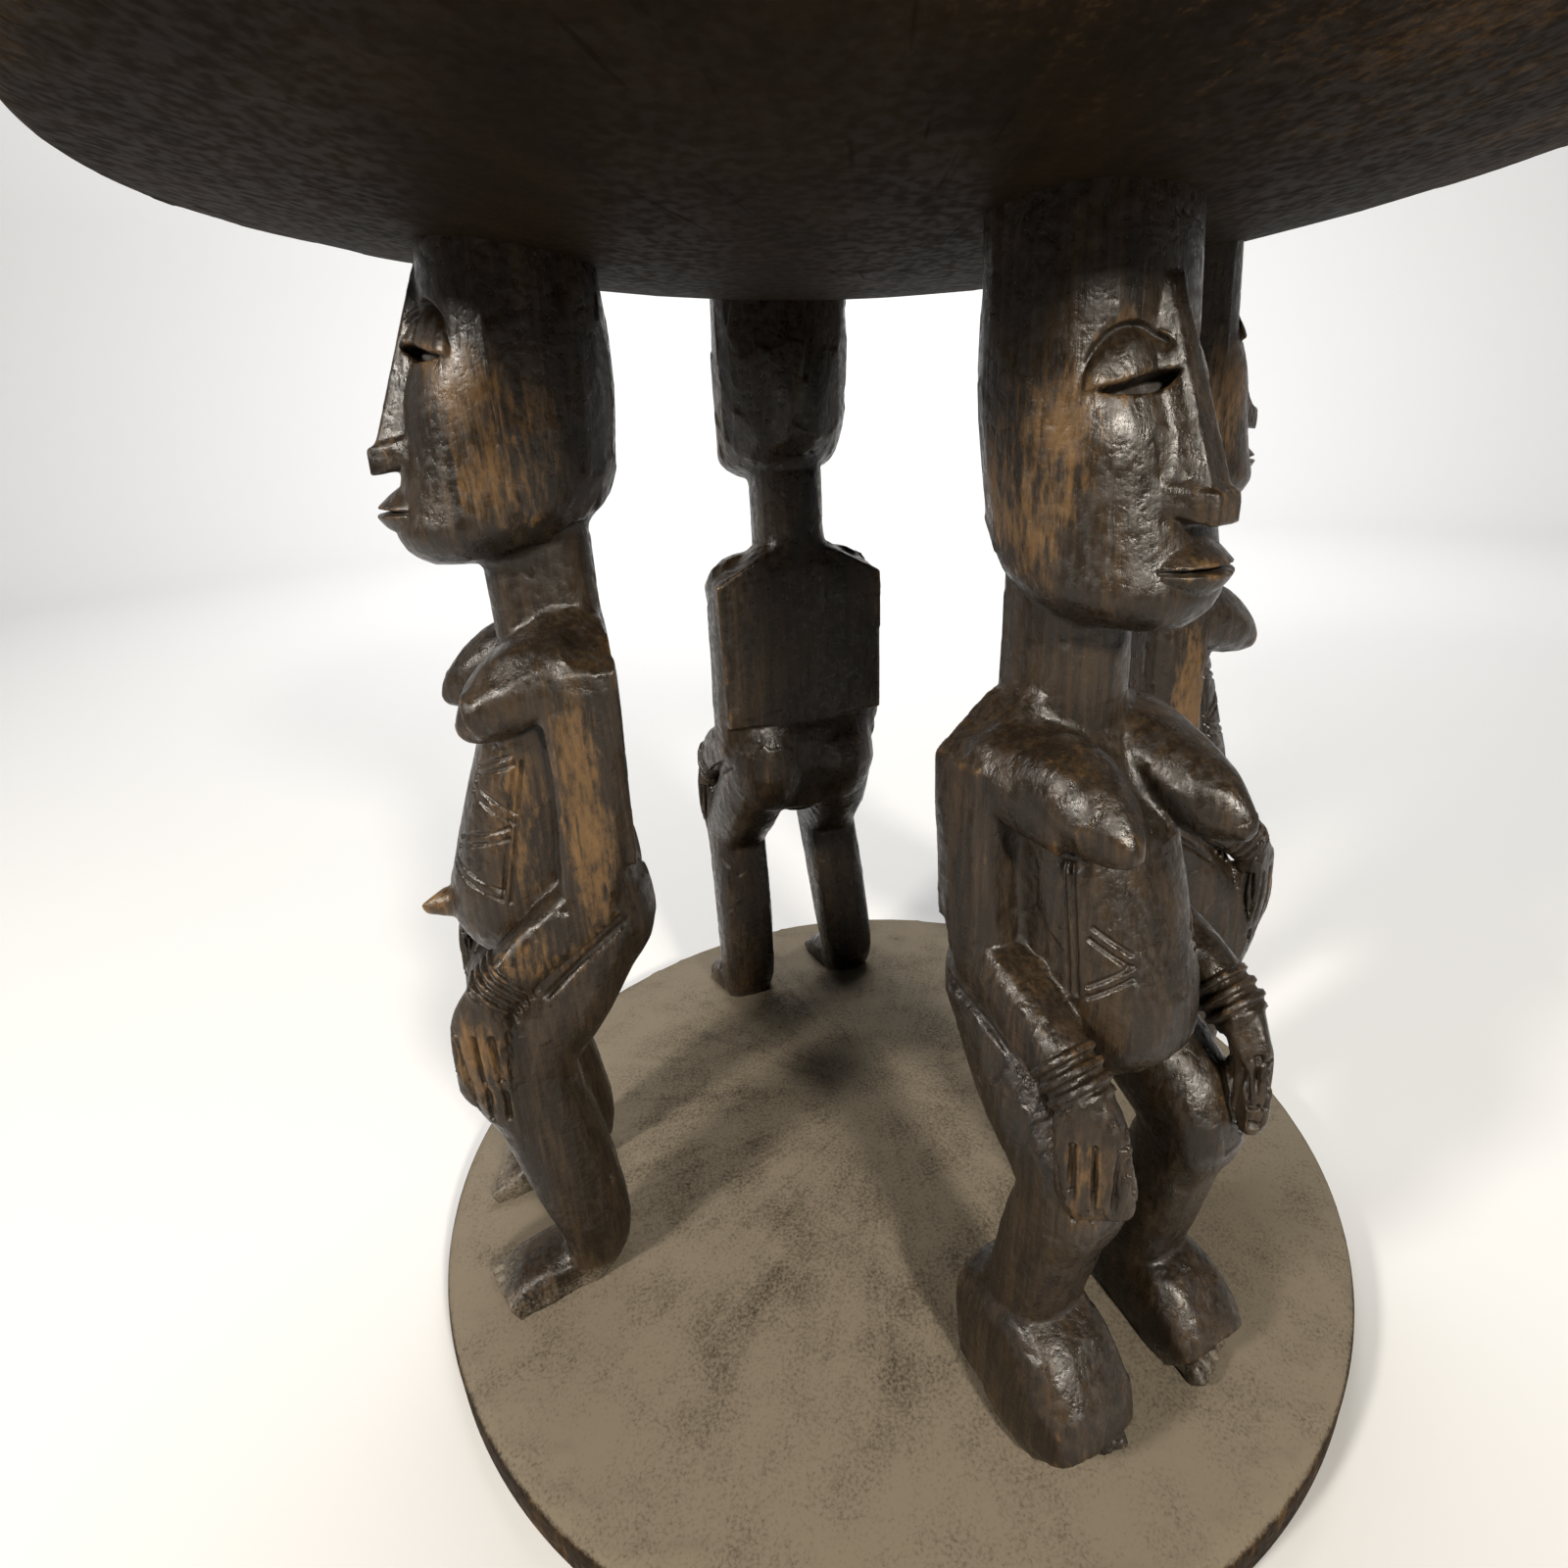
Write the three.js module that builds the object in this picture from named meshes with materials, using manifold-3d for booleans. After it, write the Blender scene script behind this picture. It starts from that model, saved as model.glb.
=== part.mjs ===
// Carved side table: a round top and a round base joined by a ring of standing figures,
// all carved from one block of dark wood. Millimetres, +Z up, underside of the base at z = 0.

import * as THREE from 'three';
import { mergeVertices } from 'three/addons/utils/BufferGeometryUtils.js';
import { SimplifyModifier } from 'three/addons/modifiers/SimplifyModifier.js';
import Module from 'manifold-3d';

const wasm = await Module();
wasm.setup();

// Driving dimensions of the table
const TABLE_HEIGHT = 606;
const DOME_RADIUS = 1060;
const ROUND_SIDES = 44;

// About how many faces one figure keeps
const FIGURE_FACES = 1970;

const BASE_RADIUS = 278;
const BASE_CROWN = 63;
const BASE_RIM_ROUND = 9;

const TOP_RADIUS = 300;
const TOP_BELLY = 532;
const TOP_RIM_ROUND = 9;

// Height above the floor at which the figures' own measures start, and their crown above it
const FOOTING = 48;
const CROWN = 500;

// Where each figure stands and how it differs from the others, in millimetres and degrees.
// The turn is measured from the viewer's side towards the right.
const FIGURES = [
  {
    turn: 30, reach: 136, tall: 0.965, navel: false,
    shoulderDrop: 15, breastLift: 7, neckBack: 7, armSlim: 2.5,
    handLift: 14, handOut: 9, tipLift: 25, palmTurn: 45,
    kneeDrop: -3, legOut: 6, shinDeep: 0.82,
    headTurn: 8, faceTall: 1, faceWide: 1, faceDeep: 0.9,
  },
  {
    turn: -73, reach: 158, tall: 1.01, navel: true,
    shoulderDrop: 0, breastLift: 0, neckBack: 0, armSlim: 0,
    handLift: 0, handOut: 0, tipLift: 0, palmTurn: 20,
    kneeDrop: 0, legOut: 0, shinDeep: 1,
    headTurn: 0, faceTall: 0.97, faceWide: 1, faceDeep: 1,
  },
  {
    turn: 200, reach: 132, tall: 1.005, navel: true,
    shoulderDrop: 0, breastLift: 0, neckBack: 0, armSlim: 0,
    handLift: 5, handOut: 4, tipLift: 8, palmTurn: 30,
    kneeDrop: 0, legOut: 3, shinDeep: 0.95,
    headTurn: 0, faceTall: 0.92, faceWide: 0.93, faceDeep: 0.95,
  },
  {
    turn: 104, reach: 149, tall: 1, navel: true,
    shoulderDrop: 0, breastLift: 0, neckBack: 0, armSlim: 0,
    handLift: 5, handOut: 4, tipLift: 8, palmTurn: 30,
    kneeDrop: 0, legOut: 3, shinDeep: 0.95,
    headTurn: 0, faceTall: 0.95, faceWide: 1, faceDeep: 0.95,
  },
];

// Edges shorter than this are closed up after the pieces are joined
const WELD = 0.05;

const UP = new THREE.Vector3(0, 0, 1);

// The finish of the wood
const woodMaterial = new THREE.MeshStandardMaterial({
  color: 0x2b1d13,
  roughness: 0.45,
  metalness: 0,
});

// A three.js geometry as a closed manifold solid
function solid(geometry) {
  const bare = geometry.index ? geometry.toNonIndexed() : geometry.clone();
  bare.deleteAttribute('normal');
  bare.deleteAttribute('uv');
  const merged = mergeVertices(bare, 1e-4);
  const vertProperties = new Float32Array(merged.attributes.position.array);
  const triVerts = new Uint32Array(merged.index.array);
  if (signedVolume(vertProperties, triVerts) < 0) {
    turnFacesOver(triVerts);
  }
  const mesh = new wasm.Mesh({ numProp: 3, vertProperties, triVerts });
  mesh.merge();
  return new wasm.Manifold(mesh);
}

function signedVolume(points, faces) {
  const corners = [new THREE.Vector3(), new THREE.Vector3(), new THREE.Vector3()];
  let volume = 0;
  for (let face = 0; face < faces.length; face += 3) {
    corners.forEach((corner, i) => corner.fromArray(points, 3 * faces[face + i]));
    volume += corners[0].dot(corners[1].clone().cross(corners[2])) / 6;
  }
  return volume;
}

function turnFacesOver(faces) {
  for (let face = 0; face < faces.length; face += 3) {
    [faces[face], faces[face + 1]] = [faces[face + 1], faces[face]];
  }
}

function fuse(solids) {
  return solids.reduce((whole, next) => whole.add(next));
}

// A limb is a cylinder whose rings are laid along a curve. Each station of the curve gives
// x, y, z, the half width, the half depth and how square the section is (2 is an ellipse).
// Rings stand across the curve, or lie level where the limb is a level one.
function limb(stations, { sides = 12, steps = 2, across = [1, 0, 0], level = false } = {}) {
  const rows = (stations.length - 1) * steps;
  const centres = new THREE.CatmullRomCurve3(stations.map((s) => new THREE.Vector3(s[0], s[1], s[2])));
  const sizes = new THREE.CatmullRomCurve3(stations.map((s) => new THREE.Vector3(s[3], s[4], s[5] ?? 2)));
  const geometry = new THREE.CylinderGeometry(1, 1, 1, sides, rows);
  const place = geometry.attributes.position;
  const acrossWish = new THREE.Vector3(...across);
  for (let i = 0; i < place.count; i += 1) {
    const along = THREE.MathUtils.clamp(place.getY(i) + 0.5, 0, 1);
    const spread = Math.hypot(place.getX(i), place.getZ(i));
    const angle = Math.atan2(place.getZ(i), place.getX(i)) + (sides === 4 ? Math.PI / 4 : 0);
    const centre = centres.getPoint(along);
    const size = sizes.getPoint(along);
    const tangent = level ? UP : centres.getTangent(along);
    const acrossAxis = acrossWish.clone().addScaledVector(tangent, -acrossWish.dot(tangent)).normalize();
    const depthAxis = tangent.clone().cross(acrossAxis);
    const round = superRadius(angle, size.z) * spread;
    centre.addScaledVector(acrossAxis, Math.cos(angle) * round * size.x);
    centre.addScaledVector(depthAxis, Math.sin(angle) * round * size.y);
    place.setXYZ(i, centre.x, centre.y, centre.z);
  }
  return solid(geometry);
}

function superRadius(angle, squareness) {
  const c = Math.abs(Math.cos(angle));
  const s = Math.abs(Math.sin(angle));
  return (c ** squareness + s ** squareness) ** (-1 / squareness);
}

// An egg is a sphere stretched to its three half sizes, leaned about x, turned about z and
// put in its place
function egg([x, y, z], [halfWide, halfDeep, halfTall], { lean = 0, turn = 0 } = {}) {
  const geometry = new THREE.SphereGeometry(1, 14, 10);
  geometry.rotateX(Math.PI / 2);
  geometry.scale(halfWide, halfDeep, halfTall);
  geometry.rotateX(THREE.MathUtils.degToRad(lean));
  geometry.rotateZ(THREE.MathUtils.degToRad(turn));
  geometry.translate(x, y, z);
  return solid(geometry);
}

// A wedge is the smallest block with flat sides that holds the given corners and the same
// corners on the other side
function wedge(corners) {
  return wasm.Manifold.hull([...corners, ...mirrored(corners)]);
}

// The same list of stations on the figure's other side
function mirrored(stations) {
  return stations.map(([x, ...rest]) => [-x, ...rest]);
}

function pair(stations, options) {
  return [limb(stations, options), limb(mirrored(stations), options)];
}

// A section whose first half size is its height, for forms that run from side to side
const FLAT_ACROSS = { sides: 8, across: [0, 0, 1] };

// The cut under the upper eyelid
const SLIT = [
  [7, 38, 454.5, 0.8, 4],
  [18.5, 34, 453, 2.2, 8],
  [32, 25, 455, 0.8, 4],
];

// The long ridge of the nose, and its box-like wings
const NOSE_RIDGE = [
  [4.5, 35.5, 488],
  [9, 29, 488],
  [6.3, 61.5, 424],
  [15.5, 46, 424],
  [4, 15, 478],
  [11, 15, 424],
];
const NOSE_WINGS = [
  [6.5, 66, 421],
  [7, 66.3, 410],
  [17, 47.5, 425],
  [17.3, 49, 416.5],
  [17, 30, 425],
  [17, 30, 416.5],
  [6.5, 50, 427],
];

// Head: an egg-shaped mass with a slanting jaw, its crown sunk in the underside of the top
function head({ headTurn, faceTall, faceWide, faceDeep }) {
  const mass = limb([
    [0, 36, 371.5, 10, 12, 2],
    [0, 30, 376, 26, 26, 2],
    [0, 22, 386, 37, 39.5, 2],
    [0, 13, 400, 39.5, 45, 2],
    [0, 8.5, 420, 40.5, 43.5, 2.1],
    [0, 5, 441, 41.5, 42.5, 2.15],
    [0, 0.5, 463, 41.5, 37.5, 2.2],
    [0, -0.5, 488, 40.5, 35, 2.3],
    [0, -3, 534, 40, 33, 2.4],
  ], { sides: 22, level: true });
  const sides = [-1, 1];
  const sockets = sides.map((side) => (
    egg([side * 22.8, 40.3, 463.5], [20, 12, 15.5], { turn: -side * 26 })
  ));
  const lids = sides.map((side) => (
    egg([side * 14.7, 27.6, 460.5], [16, 10, 11], { turn: -side * 26 })
  ));
  const carved = mass.subtract(fuse(sockets)).add(fuse(lids)).subtract(fuse(pair(SLIT, FLAT_ACROSS)));
  const whole = fuse([carved, wedge(NOSE_RIDGE), wedge(NOSE_WINGS), ...lips()]);
  return whole
    .translate([0, 0, -CROWN])
    .scale([faceWide, faceDeep, faceTall])
    .rotate([0, 0, headTurn])
    .translate([0, 0, CROWN]);
}

function lips() {
  const upper = [
    [-19, 49.5, 399, 2, 4],
    [-9, 56, 401, 4.5, 7],
    [0, 58.5, 400.5, 5, 8],
    [9, 56, 401, 4.5, 7],
    [19, 49.5, 399, 2, 4],
  ];
  const lower = upper.map(([x, y, z, high, deep]) => [x * 0.9, y - 0.5, z - 9.5, high * 0.9, deep]);
  return [limb(upper, FLAT_ACROSS), limb(lower, FLAT_ACROSS)];
}

function neck(back) {
  return limb([
    [0, 4 - back, 312, 25, 24, 2.6],
    [0, 5 - back, 350, 21.5, 24, 2.8],
    [0, 5 - back, 424, 21.5, 24, 2.8],
  ], { sides: 14, steps: 1, level: true });
}

// Torso: a flat back with sloping shoulders, and a belly that swells forwards
function torso(drop) {
  const back = limb([
    [0, -1, 353 - drop * 0.6, 23, 17, 3],
    [0, -2, 344 - drop, 36, 17.5, 3],
    [0, -2, 335 - drop, 47, 18, 3.5],
    [0, -2, 318 - drop, 50, 17, 5],
    [0, 1, 268, 48, 14, 5],
    [0, 2, 212, 45, 12, 3],
  ], { sides: 20, level: true });
  const front = limb([
    [0, 3, 346 - drop, 28, 17, 2.5],
    [0, 9, 318 - drop, 37, 27, 2.5],
    [0, 15, 288, 35, 33, 2.5],
    [0, 23, 250, 34, 39, 2.4],
    [0, 28, 216, 36, 44, 2.3],
    [0, 28, 192, 33, 42, 2.2],
    [0, 18, 168, 16, 20, 2],
  ], { sides: 16, level: true });
  const plate = limb([
    [0, -8, 334 - drop, 49, 11, 4],
    [0, -8, 318 - drop, 54, 11, 5],
    [0, -7, 268, 54, 9.5, 5],
    [0, -4, 238, 52, 10, 4],
    [0, -2, 226, 46, 8, 3],
  ], { sides: 16, level: true });
  return [back, front, plate];
}

// The navel is carved as a cone
function navelCone() {
  return limb([
    [0, 62, 212, 9.5, 10],
    [0, 75, 211, 7, 7.5],
    [0, 87, 210, 3, 3],
  ], { sides: 8 });
}

// Pointed breasts, the one on the figure's right sometimes lifted a little
function breasts(drop, lift) {
  return [-1, 1].map((side) => {
    const raised = (side > 0 ? lift : 0) - drop;
    return limb([
      [side * 26, -2, 336 - drop, 22, 14, 2.4],
      [side * 27.5, 14, 330 - drop, 22, 17, 2.3],
      [side * 28.5, 34, 322 + raised, 19, 17, 2.2],
      [side * 30, 52, 313.5 + raised, 13.5, 13, 2],
      [side * 31, 64, 308 + raised, 7, 7.5, 2],
      [side * 31, 70, 305 + raised, 3, 3, 2],
    ], { sides: 14 });
  });
}

// Arm: from the sloping shoulder down to the elbow, then forward to the hand on the knee
function arms(place) {
  const { shoulderDrop: drop, armSlim: slim } = place;
  const shoulder = [
    [42 - slim, -2, 333 - drop, 11, 13, 3],
    [42 - slim, 12, 326 - drop, 12, 13, 2.6],
    [39 - slim, 28, 320 - drop, 12, 13, 2.4],
    [35, 44, 315 - drop, 11, 11, 2],
  ];
  const upper = [
    [37 - slim, -2, 341 - drop, 9, 12, 3],
    [42 - slim, -3, 331 - drop, 12, 16, 4],
    [44 - slim, -1, 312 - drop, 12, 16, 5],
    [45 - slim, 0, 280, 11.5, 15, 5],
    [45 - slim, 4, 235, 12, 15, 4],
    [44 - slim, 8, 213, 8, 9, 3],
  ];
  return [
    ...pair(shoulder, { sides: 10, steps: 1 }),
    ...pair(upper, { sides: 14, level: true }),
    ...pair(forearm(place), { sides: 10, steps: 1 }),
    ...hands(place),
  ];
}

// The forearm carries three raised rings where it meets the wrist
function forearm({ handLift, handOut, armSlim }) {
  const stations = [
    [45 - armSlim, 1, 226 + handLift * 0.4, 11, 14, 2.6],
    [47 - armSlim, 24 + handOut * 0.4, 211 + handLift * 0.8, 11, 14, 2.6],
  ];
  const rings = 3;
  const length = 13.5 + handOut * 0.2;
  for (let edge = 0; edge <= 2 * rings; edge += 1) {
    const along = edge / (2 * rings);
    const raised = edge % 2 ? 2 : 0;
    const y = 46.5 + handOut * 0.75 + length * along;
    const z = 194.7 + handLift - 11.5 * along;
    stations.push([48 - armSlim, y, z, 9.5 + raised, 11 + raised, 2.6]);
  }
  return stations;
}

// A hand is a flat palm laid on the knee, with four fingers. The palm is turned from flat
// on the outer side of the knee towards its front.
function hands({ handLift, handOut, tipLift, palmTurn, armSlim }) {
  const turn = THREE.MathUtils.degToRad(palmTurn);
  const across = [-Math.sin(turn), Math.cos(turn), 0];
  const wrist = 186 + handLift;
  const tips = 122 + tipLift;
  const station = (share, x, y, shift, wide, deep, square) => [
    x - armSlim + across[0] * shift,
    y + handOut * (0.9 + 0.4 * share) + across[1] * shift,
    THREE.MathUtils.lerp(wrist, tips, share),
    wide, deep, square,
  ];
  const pieces = pair([
    station(0, 48, 59, 0, 9.5, 10.5, 2.6),
    station(0.25, 50, 64.5, 0, 14.5, 8, 3.4),
    station(0.72, 49, 67, 0, 15, 6, 3.6),
  ], { across });
  for (let finger = 0; finger < 4; finger += 1) {
    const shift = (finger - 1.5) * 7.3;
    pieces.push(...pair([
      station(0.5, 50, 66.5, shift, 4.1, 7.5, 3),
      station(1, 46.5, 68, shift * 0.92, 3.4, 5.5, 3),
    ], { sides: 8, steps: 1, across }));
  }
  return pieces;
}

// The hips are one broad mass with two rounded buttocks
function hips() {
  const block = limb([
    [0, 0, 244, 40, 12, 4],
    [0, 0, 230, 48, 19, 4],
    [0, 2, 200, 50, 20, 3.5],
    [0, 10, 172, 44, 18, 3],
  ], { sides: 16, level: true });
  return [block, ...[-1, 1].map((side) => egg([side * 26, 0, 206], [27, 25, 36], { lean: 8 }))];
}

// Leg: a thigh that comes forward, a bent knee, and a shin that leans back to the heel
function legs({ kneeDrop: drop, legOut: out, shinDeep: deep }) {
  return pair([
    [28, 4, 206, 25, 27, 2.2],
    [33, 24 + out / 2, 172 - drop / 2, 23.5, 25.5, 2.3],
    [36.5, 52 + out, 138 - drop, 21, 27 * deep, 2.7],
    [38, 46 + out, 106 - drop, 20.5, 23.5 * deep, 3],
    [40, 37.5 + out, 64, 20.5, 22.3 * deep, 3],
    [42, 30.5 + out, 28, 20, 19 * deep, 2.8],
    [42, 33 + out, 12, 19, 16 * deep, 2.8],
    [42, 38 + out, -3, 17, 11, 2.8],
    [42, 40 + out, -18, 15, 9, 2.8],
  ], { sides: 14 });
}

// A foot is a long wedge with five toes, following the fall of the base towards its rim
function feet({ legOut: out }) {
  const pieces = pair([
    [42, 32 + out, 0, 16, 9, 3],
    [42, 48 + out, 2, 18, 13, 3],
    [43, 66, -3, 19.5, 12, 3.2],
    [43, 80, -9, 20, 9.5, 3.6],
  ]);
  for (let toe = 0; toe < 5; toe += 1) {
    const x = 28.5 + toe * 7.4;
    const tip = 91 - toe * 1.6 - toe ** 2 * 0.5;
    pieces.push(...pair([
      [x, 72, -7, 4.1, 8, 2.6],
      [x, tip, -12.5, 3.8, 6.5, 2.8],
    ], { sides: 8, steps: 1 }));
  }
  return pieces;
}

// One standing figure at the centre of the table, facing +y, before it is put in the ring
function figure(place) {
  return fuse([
    head(place),
    neck(place.neckBack),
    ...torso(place.shoulderDrop),
    ...(place.navel ? [navelCone()] : []),
    ...breasts(place.shoulderDrop, place.breastLift),
    ...arms(place),
    ...hips(),
    ...legs(place),
    ...feet(place),
  ]);
}

// The same carving with fewer, larger faces
async function fewerFaces(carving, faces) {
  const { vertProperties, triVerts } = carving.getMesh();
  const geometry = new THREE.BufferGeometry();
  geometry.setAttribute('position', new THREE.BufferAttribute(new Float32Array(vertProperties), 3));
  geometry.setIndex(new THREE.BufferAttribute(new Uint32Array(triVerts), 1));
  const spare = Math.max(0, (carving.numTri() - faces) / 2);
  return solid(await new SimplifyModifier().modify(geometry, spare));
}

// A union with any pocket sealed inside it filled
function filled(carving) {
  return fuse(carving.decompose().filter((shell) => shell.volume() > 1));
}

// The figure carried to its place in the ring, facing outwards
function inRing(carving, { turn, reach, tall }) {
  return carving
    .scale([1, 1, tall])
    .translate([0, reach, FOOTING])
    .rotate([0, 0, 180 + turn]);
}

// Height of a dome whose crown is at the given level, at some distance from the axis
function domeFall(distance) {
  return distance ** 2 / (2 * DOME_RADIUS);
}

// Outline of a disc from its flat side, round the rim, to the crown of its dome.
// Up is +1 when the dome faces upwards and -1 when it hangs down.
function discOutline(radius, flatLevel, crownLevel, up, rimRound) {
  const outline = [new THREE.Vector2(0, flatLevel), new THREE.Vector2(radius - rimRound, flatLevel)];
  const rimTop = crownLevel - up * domeFall(radius - rimRound);
  const steps = 2;
  for (let step = 1; step <= steps; step += 1) {
    const angle = (step / steps) * (Math.PI / 2);
    const across = radius - rimRound + rimRound * Math.sin(angle);
    outline.push(new THREE.Vector2(across, flatLevel + up * rimRound * (1 - Math.cos(angle))));
  }
  for (let step = 0; step < steps; step += 1) {
    const angle = (step / steps) * (Math.PI / 2);
    const across = radius - rimRound + rimRound * Math.cos(angle);
    outline.push(new THREE.Vector2(across, rimTop - up * rimRound * (1 - Math.sin(angle))));
  }
  for (let step = 0; step <= 3; step += 1) {
    const distance = (radius - rimRound) * (1 - step / 3);
    outline.push(new THREE.Vector2(distance, crownLevel - up * domeFall(distance)));
  }
  return outline;
}

function disc(outline) {
  const geometry = new THREE.LatheGeometry(outline, ROUND_SIDES);
  geometry.rotateX(Math.PI / 2);
  return solid(geometry);
}

function base() {
  return disc(discOutline(BASE_RADIUS, 0, BASE_CROWN, 1, BASE_RIM_ROUND));
}

function top() {
  return disc(discOutline(TOP_RADIUS, TABLE_HEIGHT, TOP_BELLY, -1, TOP_RIM_ROUND));
}

// The finished solid as a mesh for the scene
function meshOf(manifold, name) {
  const { vertProperties, triVerts } = manifold.getMesh();
  const geometry = new THREE.BufferGeometry();
  geometry.setAttribute('position', new THREE.BufferAttribute(new Float32Array(vertProperties), 3));
  geometry.setIndex(new THREE.BufferAttribute(new Uint32Array(triVerts), 1));
  geometry.computeVertexNormals();
  const mesh = new THREE.Mesh(geometry, woodMaterial);
  mesh.name = name;
  return mesh;
}

const ring = [];
for (const place of FIGURES) {
  const carving = await fewerFaces(filled(figure(place)), FIGURE_FACES);
  ring.push(inRing(carving, place));
}
const table = filled(fuse([base(), top(), ...ring])).simplify(WELD);

const group = new THREE.Group();
group.add(meshOf(table, 'carved_table'));

export default group;
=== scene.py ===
"""Carved side table: the carving and the finish of a table cut from one block of dark wood."""

import math

import bmesh
import bpy
import numpy as np
from bpy.props import FloatProperty, FloatVectorProperty, IntProperty, PointerProperty
from mathutils import Matrix, Vector
from mathutils.kdtree import KDTree


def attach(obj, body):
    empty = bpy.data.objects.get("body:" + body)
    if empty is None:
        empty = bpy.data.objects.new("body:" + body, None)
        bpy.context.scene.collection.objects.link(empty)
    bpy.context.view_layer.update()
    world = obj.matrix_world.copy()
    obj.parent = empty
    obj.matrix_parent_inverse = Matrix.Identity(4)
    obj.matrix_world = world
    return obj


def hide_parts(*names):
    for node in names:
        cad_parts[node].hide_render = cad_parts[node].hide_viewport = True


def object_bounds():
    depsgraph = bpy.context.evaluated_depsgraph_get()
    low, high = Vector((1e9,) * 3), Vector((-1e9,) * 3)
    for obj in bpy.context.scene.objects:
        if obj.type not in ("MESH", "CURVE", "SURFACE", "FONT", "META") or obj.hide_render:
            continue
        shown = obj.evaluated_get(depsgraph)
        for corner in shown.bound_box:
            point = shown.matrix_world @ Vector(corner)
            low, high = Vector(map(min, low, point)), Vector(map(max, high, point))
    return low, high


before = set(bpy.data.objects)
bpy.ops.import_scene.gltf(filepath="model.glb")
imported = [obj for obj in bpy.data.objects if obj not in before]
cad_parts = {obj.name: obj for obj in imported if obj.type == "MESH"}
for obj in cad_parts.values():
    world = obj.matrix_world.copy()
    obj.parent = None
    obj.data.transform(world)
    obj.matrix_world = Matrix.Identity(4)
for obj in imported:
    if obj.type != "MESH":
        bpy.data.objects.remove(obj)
CAD_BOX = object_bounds()

bl_info = {
    "name": "Carved side table",
    "version": (1, 0, 0),
    "blender": (4, 5, 0),
    "location": "View3D > Sidebar > Table",
    "description": "A round side table with four standing figures, carved from one block",
    "category": "Object",
}

# The carving is worked out in millimetres and stored in metres
MM = 0.001

# Height from which the figures' own heights are measured, and of their crown above it
FOOTING = 48
CROWN = 500

# Heights of a plain figure's wrist and finger tips
WRIST = 186
FINGER_TIPS = 122

# How wide the rounded rim of a disc is
RIM = 9

# The round stage in metres: how far the flat floor reaches, the radius of the curve that leads
# up into its wall, the wall's height, and how far the floor lies under the base's flat side
FLOOR_REACH = 3.2
FLOOR_CURVE = 1.2
WALL_HEIGHT = 6
FLOOR_GAP = 0.0005

# The camera in the photograph's frame, which is so many pixels wide and high: its focal length
# and the shift of its centre in pixels, its place in metres, and its pitch and roll in degrees
PHOTO = 1600
FOCAL = 926.7
SHIFT = (-36, -3.5)
VIEWPOINT = (-0.0331, -0.4687, 0.489)
PITCH = -23.04
ROLL = -2.51

# What the figures have in common, in millimetres, degrees and shares of a plain figure's size.
# Two values are for the left and the right side, and soft is how many rounds smooth the
# shoulders. A figure faces along its own y axis
PLAIN = dict(
    rings=3, navel=True, scars="backwards", shoulder_drop=0, soft=20, breast_lift=0,
    breast_long=(0.8, 0.8), breast_full=1.05, neck_back=0, arm_slim=0, hand_lift=5, hand_out=4,
    tip_lift=8, palm_turn=30, knee_drop=0, leg_out=3, foot_rise=(6, 6), shin_deep=0.95,
    head_turn=0, face_tall=1.0, face_wide=1.0, face_deep=0.95)

# Where each figure stands in the ring, how worn it is from 0 to 1, and how it differs
FIGURES = (
    dict(PLAIN, name="figure_near_right", seed=3, turn=30, reach=136, tall=0.965,
         arm_wear=0.12, body_wear=0.1, hand_wear=0.22, navel=False, scars="forwards",
         shoulder_drop=15, soft=40, breast_lift=7, breast_long=(1.0, 0.98), breast_full=1.14,
         neck_back=7, arm_slim=2.5, hand_lift=14, hand_out=9, tip_lift=25, palm_turn=45,
         knee_drop=-3, leg_out=6, foot_rise=(28, 54), shin_deep=0.82, head_turn=8,
         face_deep=0.9),
    dict(PLAIN, name="figure_near_left", seed=5, turn=-73, reach=158, tall=1.01,
         arm_wear=0.72, body_wear=0.5, hand_wear=0.62, rings=4, soft=40,
         breast_long=(0.64, 0.82), hand_lift=0, hand_out=0, tip_lift=0, palm_turn=20,
         leg_out=0, foot_rise=(0, 0), shin_deep=1.0, face_tall=0.97, face_deep=1.0),
    dict(PLAIN, name="figure_far_left", seed=7, turn=200, reach=132, tall=1.005,
         arm_wear=0.1, body_wear=0.1, hand_wear=0.15, soft=6, face_tall=0.86,
         face_wide=0.96),
    dict(PLAIN, name="figure_far_right", seed=11, turn=104, reach=149, tall=1.0,
         arm_wear=0.8, body_wear=0.15, hand_wear=0.2, face_tall=0.95),
)


class TableForm(bpy.types.PropertyGroup):
    """Sizes of the table that a user may change"""

    dome_radius: FloatProperty(
        name="Dome radius", description="Radius of the domes of the top and the base",
        default=1.06, min=0.5, unit="LENGTH")
    top_radius: FloatProperty(
        name="Top radius", description="Radius of the round top",
        default=round(float(CAD_BOX[1][0]), 3), min=0.1, unit="LENGTH")
    base_radius: FloatProperty(
        name="Base radius", description="Radius of the round base",
        default=0.278, min=0.1, unit="LENGTH")
    table_height: FloatProperty(
        name="Table height", description="Height of the table's upper face",
        default=round(float(CAD_BOX[1][2]), 3), min=0.1, unit="LENGTH")
    top_belly: FloatProperty(
        name="Top belly", description="Height of the lowest point of the top's underside",
        default=0.532, min=0.1, unit="LENGTH")
    base_crown: FloatProperty(
        name="Base crown", description="Height of the middle of the base's upper side",
        default=0.063, min=0.01, unit="LENGTH")
    grain_size: FloatProperty(
        name="Carving grain", description="Size of the finest form that the carving keeps",
        default=0.0013, min=0.0008, max=0.01, unit="LENGTH")
    figure_faces: IntProperty(
        name="Faces of a figure", description="About how many triangles a figure keeps",
        default=172000, min=5000, max=195000)
    disc_faces: IntProperty(
        name="Faces of a disc", description="About how many triangles the top and the base keep",
        default=115000, min=5000, max=195000)


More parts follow.
